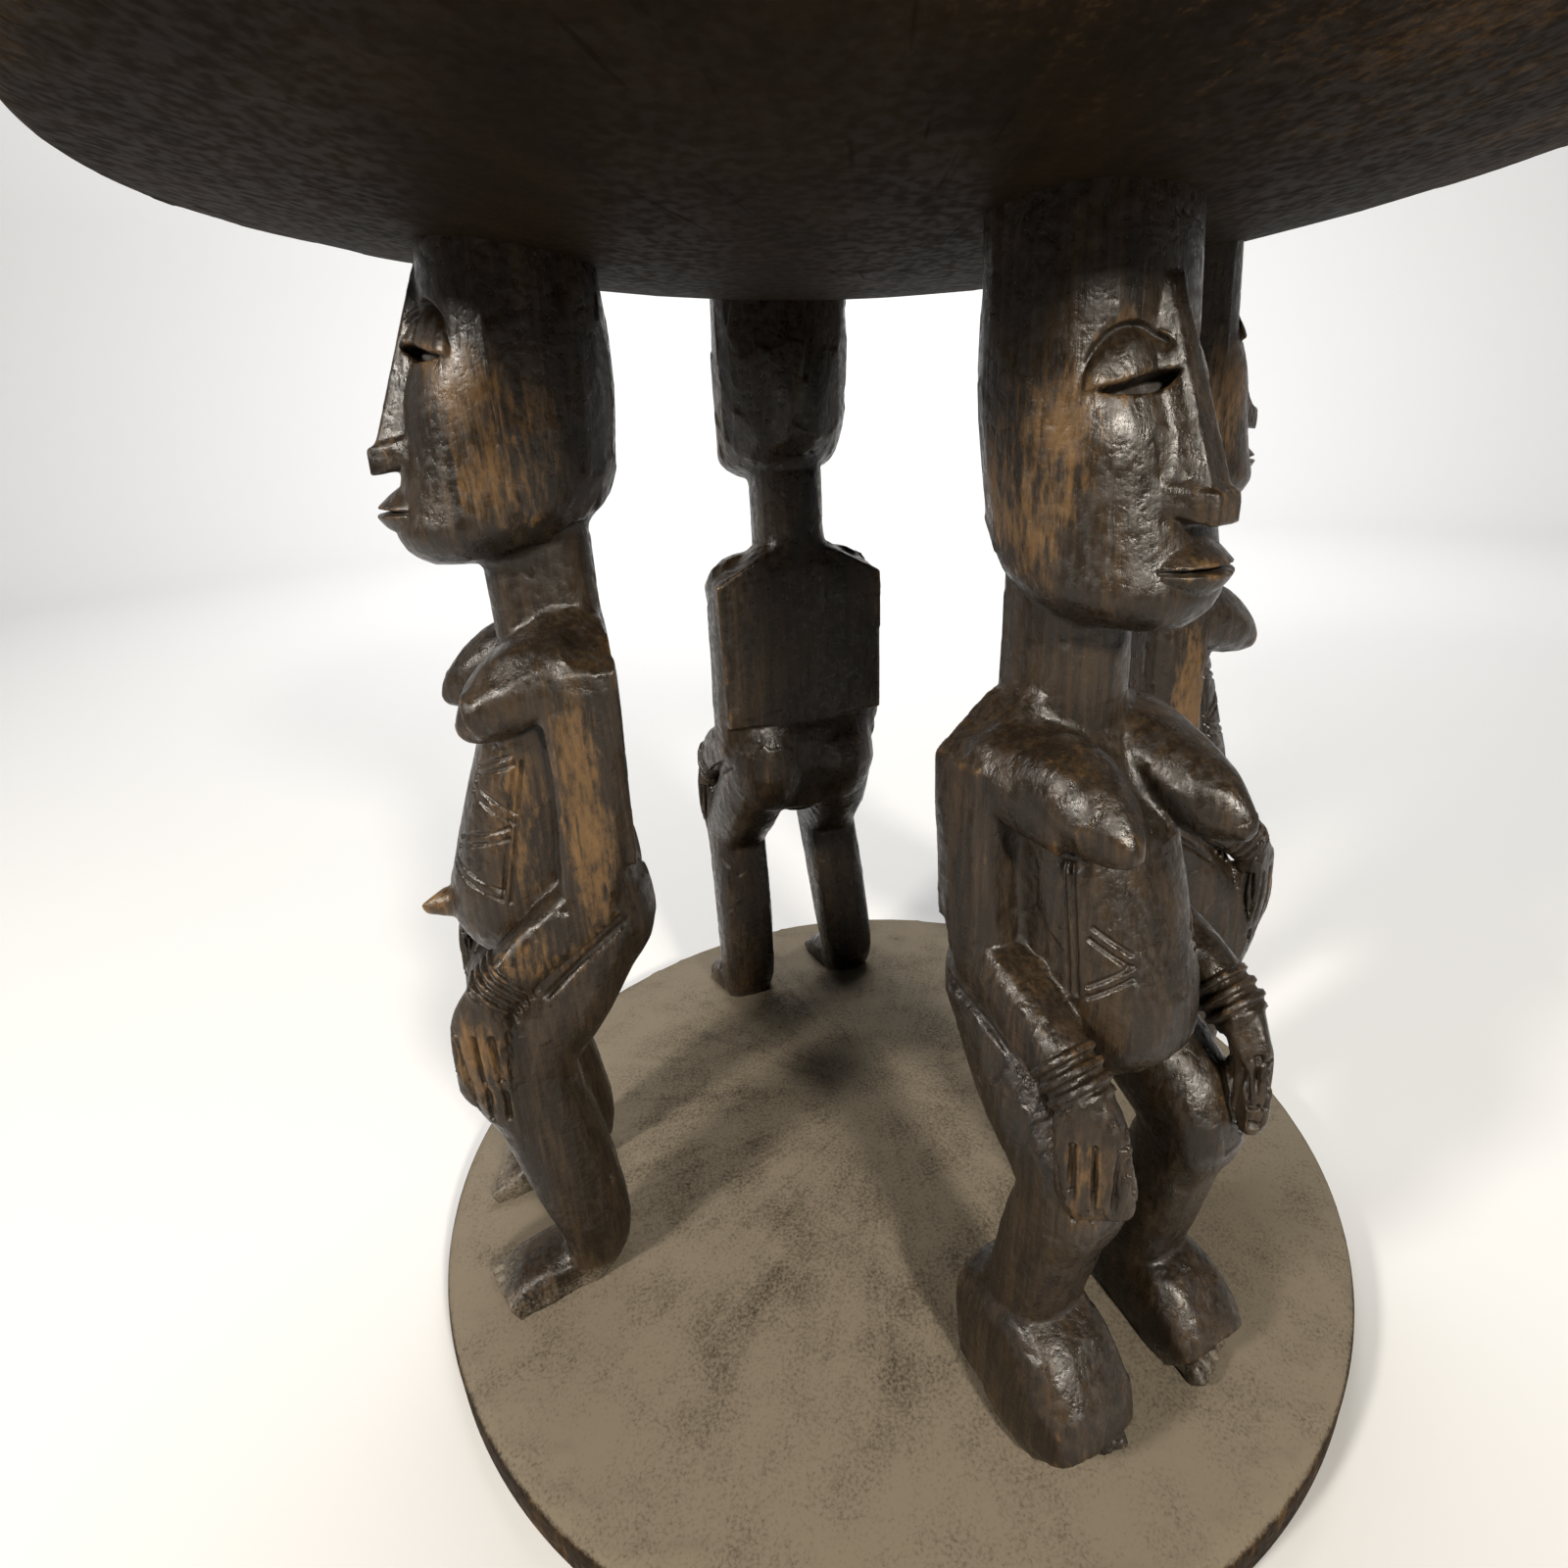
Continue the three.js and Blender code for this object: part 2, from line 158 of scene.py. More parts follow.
class TableFinish(bpy.types.PropertyGroup):
    """Colours and gloss of the wood"""

    dark_wood: FloatVectorProperty(
        name="Dark wood", description="Colour of the handled, nearly black wood",
        subtype="COLOR", size=3, min=0, max=1, default=(0.008, 0.0054, 0.0032))
    brown_wood: FloatVectorProperty(
        name="Brown wood", description="Colour of the lighter streaks of the dark wood",
        subtype="COLOR", size=3, min=0, max=1, default=(0.022, 0.0138, 0.007))
    # The rubbed and worn colours also paint light on the top's front-right side, besides showing
    # real wear
    rubbed_wood: FloatVectorProperty(
        name="Rubbed wood", description="Colour where handling has thinned the patina",
        subtype="COLOR", size=3, min=0, max=1, default=(0.05, 0.028, 0.011))
    worn_wood: FloatVectorProperty(
        name="Worn wood", description="Colour where handling has worn the patina away",
        subtype="COLOR", size=3, min=0, max=1, default=(0.11, 0.061, 0.021))
    dust: FloatVectorProperty(
        name="Dust", description="Colour of the grey-tan dust on the base and in recesses",
        subtype="COLOR", size=3, min=0, max=1, default=(0.105, 0.088, 0.065))
    roughness: FloatProperty(
        name="Roughness", description="Roughness of the polished wood",
        subtype="FACTOR", default=0.33, min=0.05, max=1)


def curve_at(points, along):
    """Points on a smooth curve through the given points, for places along it from 0 to 1."""
    points = np.asarray(points, float)
    padded = np.vstack([2 * points[0] - points[1], points, 2 * points[-1] - points[-2]])
    place = np.clip(np.asarray(along, float), 0, 1) * (len(points) - 1)
    start = np.minimum(place.astype(int), len(points) - 2)
    t = (place - start)[:, None]
    a, b, c, d = (padded[start + i] for i in range(4))
    return 0.5 * (2 * b + (c - a) * t + (2 * a - 5 * b + 4 * c - d) * t ** 2
                  + (3 * b - 3 * c + d - a) * t ** 3)


def unit(vectors):
    return vectors / np.maximum(np.linalg.norm(vectors, axis=-1, keepdims=True), 1e-9)


def limb(whole, stations, sides=32, steps=7, across=(1, 0, 0), level=False):
    """Adds a closed limb whose sections are laid across a curve, or flat where it is level. Each
    station gives x, y, z, the half width, the half depth and how square the section is, where 2
    is an ellipse. The widths run along the way given by across."""
    rows = (len(stations) - 1) * steps
    mesh = bmesh.new()
    bmesh.ops.create_cone(mesh, cap_ends=True, segments=sides, radius1=1, radius2=1, depth=1)
    upright = [e for e in mesh.edges if abs(e.verts[0].co.z - e.verts[1].co.z) > 0.5]
    bmesh.ops.subdivide_edges(mesh, edges=upright, cuts=rows - 1, use_grid_fill=True)
    rest = np.array([v.co for v in mesh.verts])
    along = rest[:, 2] + 0.5
    angle = np.arctan2(rest[:, 1], rest[:, 0])
    table = np.array(stations, float)
    centre = curve_at(table[:, :3], along)
    size = curve_at(table[:, 3:], along)
    step = 0.5 / rows
    if level:
        tangent = np.tile((0.0, 0.0, 1.0), (len(rest), 1))
    else:
        tangent = unit(curve_at(table[:, :3], along + step) - curve_at(table[:, :3], along - step))
    wish = np.tile(np.array(across, float), (len(rest), 1))
    side = unit(wish - tangent * (wish * tangent).sum(1, keepdims=True))
    depth = np.cross(tangent, side)
    square = np.maximum(size[:, 2], 1.6)
    spread = (np.abs(np.cos(angle)) ** square + np.abs(np.sin(angle)) ** square) ** (-1 / square)
    placed = (centre + side * (np.cos(angle) * spread * size[:, 0])[:, None]
              + depth * (np.sin(angle) * spread * size[:, 1])[:, None])
    for vert, place in zip(mesh.verts, placed):
        vert.co = place
    bmesh.ops.recalc_face_normals(mesh, faces=mesh.faces)
    add_shell(whole, mesh)


def add_shell(whole, mesh):
    """Moves a closed shell into the mesh that collects the shells of one piece."""
    shell = bpy.data.meshes.new("shell")
    mesh.to_mesh(shell)
    mesh.free()
    whole.from_mesh(shell)
    bpy.data.meshes.remove(shell)


def egg(whole, centre, halves, lean):
    """Adds a sphere stretched to its half sizes and leaned about the x axis."""
    mesh = bmesh.new()
    bmesh.ops.create_uvsphere(mesh, u_segments=32, v_segments=16, radius=1)
    bmesh.ops.scale(mesh, vec=halves, verts=mesh.verts)
    turn = Matrix.Rotation(math.radians(lean), 3, "X")
    bmesh.ops.rotate(mesh, cent=(0, 0, 0), matrix=turn, verts=mesh.verts)
    bmesh.ops.translate(mesh, vec=centre, verts=mesh.verts)
    add_shell(whole, mesh)


def mirrored(stations):
    return [(-s[0],) + tuple(s[1:]) for s in stations]


def pair(whole, stations, **options):
    """The same limb on both sides of the figure."""
    limb(whole, stations, **options)
    limb(whole, mirrored(stations), **options)


def wedge(whole, corners):
    """Adds the solid stretched over corners on the figure's right and the same ones on its left."""
    mesh = bmesh.new()
    for x, y, z in corners:
        mesh.verts.new((x, y, z))
        mesh.verts.new((-x, y, z))
    made = bmesh.ops.convex_hull(mesh, input=mesh.verts)
    inside = {e for e in made["geom_interior"] + made["geom_unused"]
              if isinstance(e, bmesh.types.BMVert)}
    bmesh.ops.delete(mesh, geom=list(inside), context="VERTS")
    bmesh.ops.recalc_face_normals(mesh, faces=mesh.faces)
    add_shell(whole, mesh)


def head(whole, place):
    """An egg-shaped head with a receding forehead and a slanting jaw, its crown sunk in the
    underside of the top, and a long straight nose with box-like wings."""
    part = bmesh.new()
    limb(part, (
        (0, 36, 371.5, 10, 12, 2),
        (0, 30, 376, 26, 26, 2),
        (0, 22, 386, 37, 39.5, 2),
        (0, 13, 400, 39.5, 45, 2),
        (0, 8.5, 420, 40.5, 43.5, 2.1),
        (0, 5, 441, 41.5, 42.5, 2.15),
        (0, 0.5, 463, 41.5, 37.5, 2.2),
        (0, -0.5, 488, 40.5, 35, 2.3),
        (0, -3, 534, 40, 33, 2.4),
    ), sides=64, level=True)
    wedge(part, ((4.5, 35.5, 488), (9, 29, 488), (6.3, 61.5, 424), (15.5, 46, 424),
                 (4, 15, 478), (11, 15, 424)))
    wedge(part, ((6.5, 66, 421), (7, 66.3, 410), (17, 47.5, 425), (17.3, 49, 416.5),
                 (17, 30, 425), (17, 30, 416.5), (6.5, 50, 427)))
    points = np.array([vert.co for vert in part.verts])
    for vert, point in zip(part.verts, set_head(points, place)):
        vert.co = point
    add_shell(whole, part)


def face_height(place, height):
    """Height of a place on one figure's head, from its height on the plain head."""
    return CROWN + (height - CROWN) * place["face_tall"]


def set_head(points, place):
    """Gives a head the height, width, depth and turn that it has on one figure."""
    turn = math.radians(place["head_turn"])
    x = points[:, 0] * place["face_wide"]
    y = points[:, 1] * place["face_deep"]
    return np.stack([math.cos(turn) * x - math.sin(turn) * y,
                     math.sin(turn) * x + math.cos(turn) * y,
                     face_height(place, points[:, 2])], 1)


def plain_head(points, place):
    """The same points where they are on a head as it is before it is set on one figure."""
    turn = math.radians(place["head_turn"])
    x = (math.cos(turn) * points[:, 0] + math.sin(turn) * points[:, 1]) / place["face_wide"]
    y = (math.cos(turn) * points[:, 1] - math.sin(turn) * points[:, 0]) / place["face_deep"]
    z = CROWN + (points[:, 2] - CROWN) / place["face_tall"]
    return np.stack([x, y, z], 1)


def trunk(whole, place):
    """The neck, the flat back with sloping shoulders, the belly, the breasts and the navel."""
    drop = place["shoulder_drop"]
    neck_back = place["neck_back"]
    limb(whole, (
        (0, 4 - neck_back, 312, 25, 24, 2.6),
        (0, 5 - neck_back, 350, 21.5, 24, 2.8),
        (0, 5 - neck_back, 424, 21.5, 24, 2.8),
    ), level=True)
    limb(whole, (
        (0, -1, 353 - drop * 0.6, 23, 17, 3),
        (0, -2, 344 - drop, 36, 17.5, 3),
        (0, -2, 335 - drop, 47, 18, 3.5),
        (0, -2, 318 - drop, 50, 17, 5),
        (0, 1, 268, 48, 14, 5),
        (0, 2, 212, 45, 12, 3),
    ), sides=48, level=True)
    limb(whole, (
        (0, -8, 334 - drop, 49, 11, 4),
        (0, -8, 318 - drop, 54, 11, 6),
        (0, -7, 268, 54, 9.5, 6),
        (0, -4, 238, 52, 10, 5),
        (0, -2, 226, 46, 8, 3),
    ), sides=48, level=True)
    edge = 55 - place["arm_slim"]
    wedge(whole, ((24, -18, 350 - drop * 0.6), (24, 6, 350 - drop * 0.6), (edge, -19, 333 - drop),
                  (edge, 8, 333 - drop), (edge - 1, -17, 240), (edge - 1, 2, 240)))
    limb(whole, (
        (0, 3, 346 - drop, 28, 17, 2.5),
        (0, 9, 318 - drop, 37, 27, 2.5),
        (0, 15, 288, 35, 33, 2.5),
        (0, 23, 250, 34, 39, 2.4),
        (0, 28, 216, 35.5, 44, 2.2),
        (0, 27, 192, 31.5, 40, 2.1),
        (0, 18, 166, 16, 20, 2),
    ), sides=48, level=True)
    if place["navel"]:
        limb(whole, ((0, 62, 212, 9.5, 10, 2), (0, 75, 211, 7, 7.5, 2), (0, 87, 210, 3, 3, 2)),
             sides=24)
    slim = place["arm_slim"]
    pair(whole, (
        (42 - slim, -2, 333 - drop, 11, 13, 3),
        (42 - slim, 12, 326 - drop, 12, 13, 2.6),
        (39 - slim, 28, 320 - drop, 12, 13, 2.4),
        (35, 44, 315 - drop, 11, 11, 2),
    ))
    for side in (1, -1):
        lift = place["breast_lift"] * (side > 0) - drop
        long, full = place["breast_long"][side > 0], place["breast_full"]
        limb(whole, (
            (side * 26, -2, 336 - drop, 22, 14, 2.4),
            (side * 27.5, 14, 330 - drop, 22, 17, 2.3),
            (side * 28.5, 14 + 20 * long, 322 + lift, 19, 17, 2.2),
            (side * 30, 14 + 38 * long, 313.5 + lift, 13.5 * full, 13 * full, 2),
            (side * 31, 14 + 50 * long, 308 + lift, 7.5 * full, 8 * full, 2),
            (side * 31, 14 + 56 * long, 305 + lift, 3 * full, 3 * full, 2),
        ))


def folded(points):
    """The points with those of the figure's left side laid over its right side."""
    return np.abs(points) * (1, 0, 0) + points * (0, 1, 1)


def palm_across(place):
    """The way a palm is laid, from flat on the outer side of the knee to flat on its front."""
    turn = math.radians(place["palm_turn"])
    return (-math.sin(turn), math.cos(turn), 0)


def arms(whole, place):
    """Flat upper arms, forearms, and hands laid on the outer side of the knees."""
    lift, out = place["hand_lift"], place["hand_out"]
    drop, slim = place["shoulder_drop"], place["arm_slim"]
    pair(whole, (
        (37 - slim, -2, 341 - drop, 9, 12, 3),
        (42 - slim, -3, 331 - drop, 12, 16, 4),
        (44 - slim, -1, 312 - drop, 12, 16, 5),
        (45 - slim, 0, 280, 11.5, 15, 5),
        (45 - slim, 4, 235, 12, 15, 4),
        (44 - slim, 8, 213, 8, 9, 3),
    ), level=True)
    pair(whole, (
        (45 - slim, 1, 226 + lift * 0.4, 11.5, 14, 3.6),
        (47 - slim, 24 + out * 0.4, 211 + lift * 0.8, 11.5, 14, 4),
        (48 - slim, 46 + out * 0.7, 195 + lift, 11, 12.5, 3.6),
        (48 - slim, 62 + out, 182 + lift, 10.5, 11, 3.4),
    ))
    wrist, tips = WRIST + lift, FINGER_TIPS + place["tip_lift"]
    shares = ((0, 48, 59, 9.5, 10.5, 2.6), (0.25, 50, 64.5, 14.5, 8, 3.4),
              (0.56, 50, 66.5, 15, 7.5, 3.6), (0.86, 48, 68, 14.5, 6.5, 3.6),
              (1, 46.5, 68, 12.5, 5, 3))
    stations = [(x - slim, y + out * (0.9 + 0.4 * share), wrist + (tips - wrist) * share,
                 wide, deep, square) for share, x, y, wide, deep, square in shares]
    across = palm_across(place)
    limb(whole, stations, across=across)
    limb(whole, mirrored(stations), across=(-across[0], across[1], 0))


def hips_and_legs(whole, place):
    """Broad hips with rounded buttocks, thighs that come forward, bent knees, and shins."""
    drop, out, deep = place["knee_drop"], place["leg_out"], place["shin_deep"]
    limb(whole, (
        (0, 0, 244, 40, 12, 4),
        (0, 0, 230, 48, 19, 4),
        (0, 2, 200, 50, 20, 3.5),
        (0, 10, 172, 44, 18, 3),
    ), sides=48, level=True)
    for side in (-1, 1):
        egg(whole, (side * 26, 0, 206), (27, 25, 36), 8)
    pair(whole, (
        (28, 4, 206, 25, 27, 2.2),
        (33, 24 + out / 2, 172 - drop / 2, 23.5, 25.5, 2.3),
        (36.5, 52 + out, 138 - drop, 21, 27 * deep, 2.7),
        (38, 46 + out, 106 - drop, 20.5, 23.5 * deep, 3),
        (40, 37.5 + out, 64, 20.5, 22.3 * deep, 3),
        (42, 30.5 + out, 28, 20, 19 * deep, 2.8),
        (42, 33 + out, 12, 19, 16 * deep, 2.8),
        (42, 38 + out, -3, 17, 11, 2.8),
        (42, 40 + out, -18, 15, 9, 2.8),
    ))


def feet(whole, place):
    """Long wedge-shaped feet with five toes, following the fall of the base."""
    out = place["leg_out"]
    for side, rise in zip((-1, 1), place["foot_rise"]):
        stations = []
        broad = rise * 0.12
        for x, y, top, bottom, wide, square in (
                (42, 31 + out - rise * 0.35, 9 + rise * 0.95, -9, 16 + broad, 3.4),
                (42, 46 + out - rise * 0.1, 15 + rise, -11, 18 + broad, 3.6),
                (43, 66, 9 + rise * 0.8, -15, 19.5 + broad, 3.6),
                (43, 80, 0.5 + rise * 0.5, -18.5, 20 + broad / 2, 3.8)):
            stations.append((side * x, y, (top + bottom) / 2, wide, (top - bottom) / 2, square))
        limb(whole, stations)
        for toe in range(5):
            x = side * (28.5 + toe * 7.4)
            tip = 91 - toe * 1.6 - toe ** 2 * 0.5
            limb(whole, ((x, 72, -7 + rise * 0.5, 4.1, 8, 2.6),
                         (x, tip, -12.5 + rise * 0.2, 3.8, 6.5, 2.8)), sides=16)


def carved_mass(name, whole, grain):
    """The overlapping shells of a piece fused into one skin."""
    mesh = bpy.data.meshes.new(name)
    whole.to_mesh(mesh)
    whole.free()
    piece = bpy.data.objects.new(name, mesh)
    bpy.context.collection.objects.link(piece)
    skin = piece.modifiers.new("Skin", "REMESH")
    skin.mode = "VOXEL"
    skin.voxel_size = grain / MM
    apply_modifiers(piece)
    return piece


def apply_modifiers(piece):
    """Puts the result of a piece's modifiers in its mesh."""
    bpy.context.view_layer.update()
    shown = piece.evaluated_get(bpy.context.evaluated_depsgraph_get())
    made = bpy.data.meshes.new_from_object(shown)
    old = piece.data
    name = old.name
    piece.modifiers.clear()
    piece.data = made
    bpy.data.meshes.remove(old)
    made.name = name


def split_faces(mesh, chosen):
    """Cuts the chosen faces into four, so that finer carving holds in them."""
    work = bmesh.new()
    work.from_mesh(mesh)
    work.faces.ensure_lookup_table()
    edges = {edge for number in np.flatnonzero(chosen) for edge in work.faces[number].edges}
    bmesh.ops.subdivide_edges(work, edges=list(edges), cuts=1, use_grid_fill=True)
    work.to_mesh(mesh)
    work.free()


def fine_faces(mesh, place):
    """Which faces lie on a figure's face, on the sides of its belly and on its hands."""
    centres = read(mesh.polygons, "center", 3)
    plain = plain_head(centres, place)
    face = (plain[:, 1] > 14) & (plain[:, 2] > 384) & (plain[:, 2] < 480)
    side, depth, height = np.abs(centres.T[0]), centres.T[1], centres.T[2]
    belly = (side > 7) & (side < 38) & (depth > 22) & (height > 216) & (height < 298)
    hand = (side > 32) & (depth > 40) & (height > 114) & (height < 222)
    return face | belly | hand


def read(items, name, width, kind=np.float32):
    """A value of every item of a mesh, as rows of so many numbers."""
    flat = np.empty(len(items) * width, kind)
    items.foreach_get(name, flat)
    return flat.reshape(-1, width)


def read_points(mesh):
    return read(mesh.vertices, "co", 3, float)


def write_points(mesh, points):
    mesh.vertices.foreach_set("co", points.ravel())
    mesh.update()


def read_normals(mesh):
    return read(mesh.vertex_normals, "vector", 3).astype(float)


def read_edges(mesh):
    return read(mesh.edges, "vertices", 2, np.int32)


def averaged(values, edges, rounds):
    """Each value blended with its neighbours' a number of times."""
    count = len(values)
    ties = np.bincount(edges.ravel(), minlength=count).clip(1)
    result = np.array(values, float)
    flat = result.ndim == 1
    if flat:
        result = result[:, None]
    for _ in range(rounds):
        total = np.empty_like(result)
        for axis in range(result.shape[1]):
            column = result[:, axis]
            total[:, axis] = (np.bincount(edges[:, 0], column[edges[:, 1]], count)
                              + np.bincount(edges[:, 1], column[edges[:, 0]], count))
        result = 0.5 * result + 0.5 * total / ties[:, None]
    return result[:, 0] if flat else result


def smooth_step(low, high, values):
    t = np.clip((values - low) / (high - low), 0, 1)
    return t * t * (3 - 2 * t)


def along_path(points, path, facing=None):
    """Distance of each point from a line through the places of a path, leaving out the part of
    it that lies along the way the point faces where that is given."""
    best = np.full(len(points), 1e9)
    path = np.asarray(path, float)
    for start, end in zip(path[:-1], path[1:]):
        run = end - start
        share = np.clip(((points - start) @ run) / max(run @ run, 1e-9), 0, 1)
        off = points - (start + share[:, None] * run)
        if facing is not None:
            off -= facing * (off * facing).sum(1, keepdims=True)
        np.minimum(best, np.linalg.norm(off, axis=1), out=best)
    return best


def groove(points, normals, path, width, depth, where=None, reach=0):
    """Cuts a groove of a given width and depth along a path. With a reach, the path may lie
    that far above or below the skin, along the way it faces."""
    lowest = np.min(path, axis=0) - width - reach
    highest = np.max(path, axis=0) + width + reach
    near = np.all((points > lowest) & (points < highest), axis=1)
    if where is not None:
        near &= where
    chosen = np.flatnonzero(near)
    if len(chosen) == 0:
        return
    away = along_path(points[chosen], path, normals[chosen] if reach else None)
    push = depth * (1 - smooth_step(0, width, away))
    points[chosen] -= normals[chosen] * push[:, None]


def grooves(points, normals, path, width, depth, **options):
    """The same groove on both sides of the figure."""
    for side in (-1, 1):
        groove(points, normals, np.array(path) * (side, 1, 1), width, depth, **options)


def adze_marks(points, normals, spacing, share, seed, where, stretch, most):
    """Flattens the skin into shallow facets, as an adze leaves it."""
    chosen = np.flatnonzero(where)
    rng = np.random.default_rng(seed)
    scale = np.array(stretch, float)
    cells = np.floor(points[chosen] / (spacing * scale)).astype(int)
    first = np.unique(cells, axis=0, return_index=True)[1]
    centres = points[chosen[first]] / scale
    centres = centres + rng.uniform(-0.2, 0.2, centres.shape) * spacing
    tree = KDTree(len(centres))
    for number, centre in enumerate(centres):
        tree.insert(centre, number)
    tree.balance()
    own = np.array([tree.find(p)[1] for p in points[chosen] / scale])
    count = np.bincount(own, minlength=len(centres)).clip(1)
    middle = np.stack([np.bincount(own, points[chosen, a], len(centres)) for a in range(3)], 1)
    middle /= count[:, None]
    facing = np.stack([np.bincount(own, normals[chosen, a], len(centres)) for a in range(3)], 1)
    facing = unit(facing)
    off = ((points[chosen] - middle[own]) * facing[own]).sum(1)
    agree = np.clip((normals[chosen] * facing[own]).sum(1), 0, 1)
    push = np.clip(off * share, -most, most) * agree ** 4
    points[chosen] -= facing[own] * push[:, None]


def eye_relief(across, height):
    """How far an eye stands out from the bare face: a lid whose sharp lower edge hangs over a
    dark slit, sunk under the curved edge of the brow."""
    lower = 454.6 + 0.215 * (31.5 - across)
    cheek = 453.3 + 6.5 * np.clip((12.5 - across) / 6, 0, 1) ** 1.5
    cheek += 1.3 * np.clip((across - 24) / 8, 0, 1) ** 2
    brow = 16 * (1 - np.hypot((across - 18.5) / 16, np.maximum(height - 457, 0) / 18.5))
    sunk = smooth_step(0, 1.2, brow) * smooth_step(-0.3, 0.6, height - cheek)
    sunk *= smooth_step(35, 25, across)
    round_lid = np.hypot((across - 18.5) / 15.8, np.maximum(height - lower, 0) / 16)
    lid = np.clip(1 - round_lid ** 2.4, 0, 1) ** 0.6 * smooth_step(-0.5, 0.4, height - lower)
    slit = smooth_step(0.5, -0.3, height - lower) * smooth_step(0, 1.5, brow)
    slit *= smooth_step(-0.3, 0.8, height - cheek)
    return (6.2 * lid - 4.2 * sunk - 3.4 * slit) * smooth_step(6.3, 8.3, across)


def lip_relief(across, height):
    """How far the parted lips stand out from the bare face."""
    taper = np.clip(1 - (across / 19.5) ** 2, 0, 1)
    slit = 395.6
    above = (height - slit) / (1.5 + 8 * taper ** 0.7)
    below = (slit - height) / (1.5 + 7.5 * taper ** 0.8)
    swell = 8 * taper ** 0.5
    upper = np.clip((1 - above) / 0.8, 0, 1) ** 0.8 * (height >= slit)
    lower = np.clip((1 - below) / 0.75, 0, 1) ** 0.7 * (height < slit)
    parted = (1 - smooth_step(0.35, 1.25, np.abs(height - slit))) * taper ** 0.3
    return swell * (upper + 0.95 * lower) - 6.5 * parted * (taper > 0)


def carve_face(points, normals, place):
    """The eyes and the lips, pushed out of the bare face."""
    plain = plain_head(points, place)
    across = np.abs(plain[:, 0])
    height = plain[:, 2]
    front = (plain[:, 1] > 14) & (height > 380) & (height < 482)
    eyes = np.flatnonzero(front & (across < 39) & (height > 445))
    points[eyes] += unit(normals[eyes]) * eye_relief(across[eyes], height[eyes])[:, None]
    lips = np.flatnonzero(front & (across < 21) & (height < 407.5))
    plain[lips, 1] += lip_relief(across[lips], height[lips])
    points[lips] = set_head(plain[lips], place)


def rings_and_fingers(points, normals, place):
    """Raised rings round the wrists, and grooves between the fingers."""
    lift, out, slim = place["hand_lift"], place["hand_out"], place["arm_slim"]
    start = np.array((48 - slim, 46.5 + out * 0.75, 194.7 + lift))
    run = np.array((0.0, 13.5 + out * 0.2, -11.5))
    length = np.linalg.norm(run)
    both = folded(points)
    along = (both - start) @ (run / length)
    off = np.linalg.norm(both - start - along[:, None] * (run / length), axis=1)
    chosen = np.flatnonzero((off < 17) & (along > 0) & (along < length) & (both[:, 0] > 33 - slim))
    beat = np.mod(along[chosen] * place["rings"] / length, 1)
    raised = smooth_step(0.05, 0.22, beat) * smooth_step(0.74, 0.58, beat)
    points[chosen] += normals[chosen] * (1.9 * raised - 0.5)[:, None]
    across = np.array(palm_across(place))
    wrist, tips = WRIST + lift, FINGER_TIPS + place["tip_lift"]
    for gap in (-7.3, 0, 7.3):
        path = []
        for share in (0.3, 0.7, 1.08):
            spot = np.array((49.5 - slim, 66.5 + out * (0.9 + 0.4 * share), 0))
            spot += across * gap * (1.08 - 0.15 * share)
            spot[2] = wrist + (tips - wrist) * share
            path.append(spot)
        grooves(points, normals, path, 1.6, 3.2, reach=9)
    under = [(57 - slim, -12, 212), (58 - slim, 12 + out * 0.3, 198 + lift * 0.6),
             (58 - slim, 34 + out * 0.7, 182 + lift)]
    grooves(points, normals, under, 2.8, 3, reach=5)


def carve_figure(points, normals, place):
    """The finer carving of a figure, in its own frame."""
    x, y, z = points.T
    seed, drop = place["seed"], place["shoulder_drop"]
    torso = (z > 225) & (z < 352)
    skull = z > face_height(place, 380)
    chest = (z > 296 - drop) & (z < 356) & (y > -8)
    features = (y > 30) & (z > face_height(place, 405)) & (z < face_height(place, 484))
    adze_marks(points, normals, 17, 0.75, seed, skull & (y < 14), (1, 1, 2.6), 1.2)
    adze_marks(points, normals, 13, 0.5, seed + 1, ~skull & ~chest, (1, 1, 1.8), 0.8)
    adze_marks(points, normals, 15, 0.5, seed + 3, chest, (1, 1, 1), 0.5)
    adze_marks(points, normals, 7, 0.5, seed + 2, features, (1, 1, 1.3), 0.15)
    carve_face(points, normals, place)
    rings_and_fingers(points, normals, place)
    crease = [(52, 16, 306 - drop), (44, 24, 302 - drop), (30, 38, 297 - drop),
              (16, 40, 298 - drop)]
    grooves(points, normals, crease, 3.5, 2, where=torso)
    scars(points, normals, place)
    if place["name"] == "figure_near_left":
        chip = [(-56, 18.5, 61.5), (-55, 13, 66.5)]
        groove(points, normals, chip, 2.4, 2.6, reach=8)
    if place["name"] == "figure_far_left":
        crack = [(3, -36, 500), (5, -36, 470), (2, -34, 448)]
        groove(points, normals, crack, 1.6, 2.2, reach=8)


# Incised double lines on each side of the belly: the ends of the first line of each pair, and
# how far its twin lies from it
SCARS = {
    "backwards": (
        ((17, 47, 286), (32, 30, 294), (0, 0.6, -4.6)),
        ((16, 49, 279), (32, 33.5, 266), (-0.5, 1.4, -5)),
        ((12, 60.5, 250.5), (32.5, 37.5, 259), (-0.5, 0.5, -5.2)),
        ((10, 64, 240), (33, 46, 228), (-0.5, 1.6, -4.6)),
        ((33.6, 26.5, 291), (34.2, 43, 222), (0, 4, 1)),
    ),
    "forwards": (
        ((27, 48.5, 258), (16.5, 59, 248), (1, -0.8, -5)),
        ((30, 51, 233), (17, 60.5, 243), (0.3, 0.8, -5)),
        ((29, 38, 282), (32.5, 48, 228), (1, -3.6, 0)),
    ),
}


def scars(points, normals, place):
    """Cuts the double lines on both sides of the belly."""
    for start, end, shift in SCARS[place["scars"]]:
        for twin in (0, 1):
            offset = np.array(shift) * twin
            grooves(points, normals, (start + offset, end + offset), 1.5, 1.5, reach=7)


